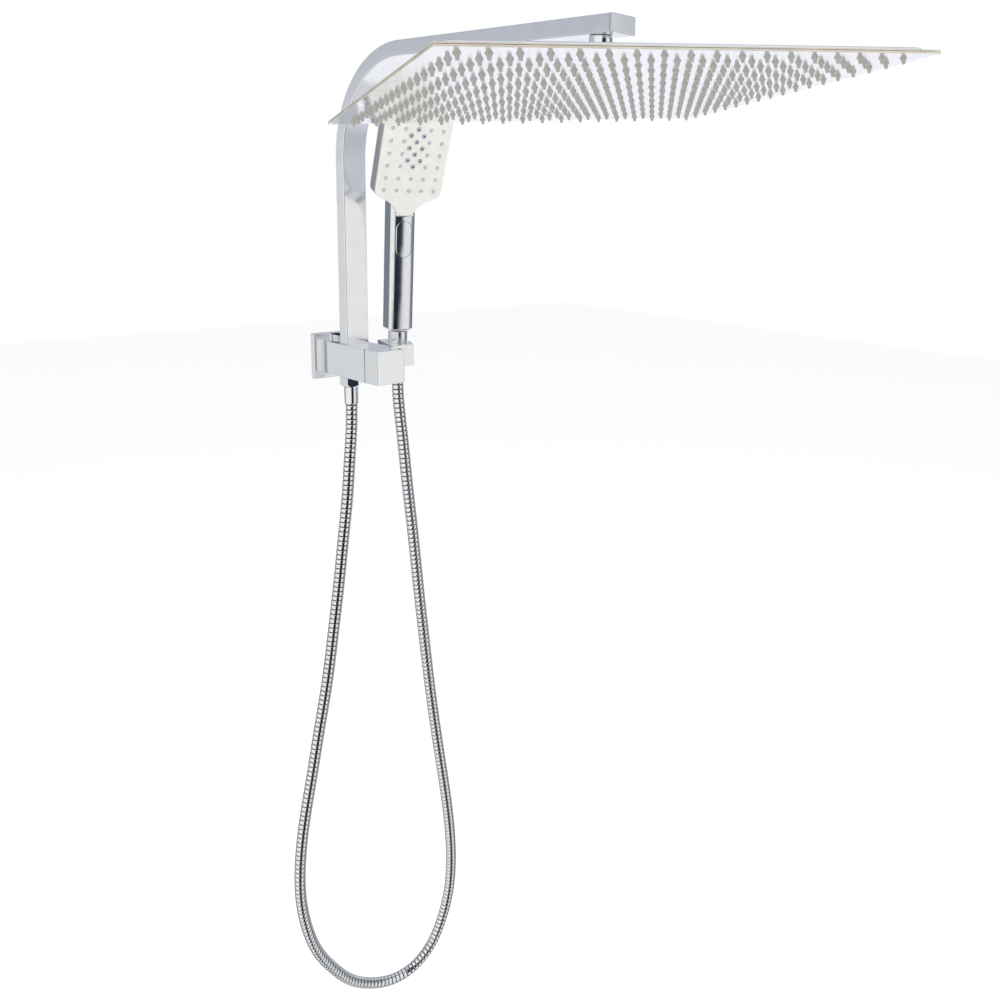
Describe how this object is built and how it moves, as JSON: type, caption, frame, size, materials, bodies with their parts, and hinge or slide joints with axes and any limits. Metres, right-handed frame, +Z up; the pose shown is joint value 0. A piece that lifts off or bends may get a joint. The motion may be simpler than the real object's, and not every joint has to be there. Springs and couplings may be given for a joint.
{
  "type": "rainfall shower column",
  "caption": "Wall-mounted shower column: square rain head on a flat gooseneck arm, bracket with front diverter, and a push-button handset on a hanging metal hose.",
  "frame": {"origin": "on the wall, at the centre of the wall plate's back, on the inlet axis", "axes": "+Z up, +Y into the wall, the object's front faces -Y, +X to the right seen from the front"},
  "size_m": [0.5418, 0.731, 1.275],
  "materials": {
    "polished": "polished chrome plate",
    "plate_steel": "bright polished steel",
    "hose_steel": "polished interlocked steel",
    "brass": "machined",
    "rubber": "matt",
    "silicone": "matt silicone",
    "tinted_plastic": "tinted translucent",
    "black_plastic": "matt",
    "face_plastic": "gloss"
  },
  "bodies": {
    "bracket": {"wall_plate": "polished", "inlet_connector": "brass", "inlet_washer": "rubber", "bracket_body": "polished", "riser_grub_screw": "black_plastic", "riser_arm": "polished", "riser_seal": "rubber", "arm_end_cap": "polished", "arm_nipple": "brass", "swivel_nut": "polished", "swivel_washer": "rubber", "cartridge_seal": "rubber", "diverter_cartridge": "brass", "hose_nipple": "brass", "hose_washer": "rubber", "hose_nut": "polished", "lower_ferrule": "polished", "hose": "hose_steel", "holder": "polished", "holder_stud": "plate_steel"},
    "swivel": {"ball_seat": "black_plastic"},
    "rain_head": {"ball_stud": "polished", "head_boss": "polished", "head_top": "plate_steel", "head_face": "plate_steel", "nozzle_mat": "silicone"},
    "diverter": {"diverter_spindle": "plate_steel", "diverter_knob": "polished", "knob_grub_screw": "black_plastic"},
    "handset": {"cone_nut": "polished", "upper_ferrule": "polished", "handset_washer": "rubber", "handset_inlet": "brass", "handset_shell": "polished", "handset_face": "face_plastic", "handset_nozzles": "silicone", "massage_insert": "tinted_plastic"},
    "button": {"mode_button": "polished"}
  },
  "joints": [
    {"name": "head_swivel", "type": "hinge", "parent": "bracket", "child": "swivel", "pos_m": [0, -0.459, 0.325], "axis": [0, 0, 1], "continuous": true},
    {"name": "head_tilt", "type": "hinge", "parent": "swivel", "child": "rain_head", "pos_m": [0, -0.459, 0.325], "axis": [0.9259, -0.3778, 0], "range_deg": [-8, 8]},
    {"name": "diverter_turn", "type": "hinge", "parent": "bracket", "child": "diverter", "pos_m": [0, -0.115, 0], "axis": [0, 1, 0], "range_deg": [-90, 90]},
    {"name": "handset_lift", "type": "slide", "parent": "bracket", "child": "handset", "axis": [-0.015, -0.077, 0.9969], "range_m": [0, 0.03]},
    {"name": "mode_push", "type": "slide", "parent": "handset", "child": "button", "axis": [0.1902, 0.9786, 0.0785], "range_m": [0, 0.0015], "stiffness_N_per_m": 1500, "springref_m": -0.0006}
  ]
}
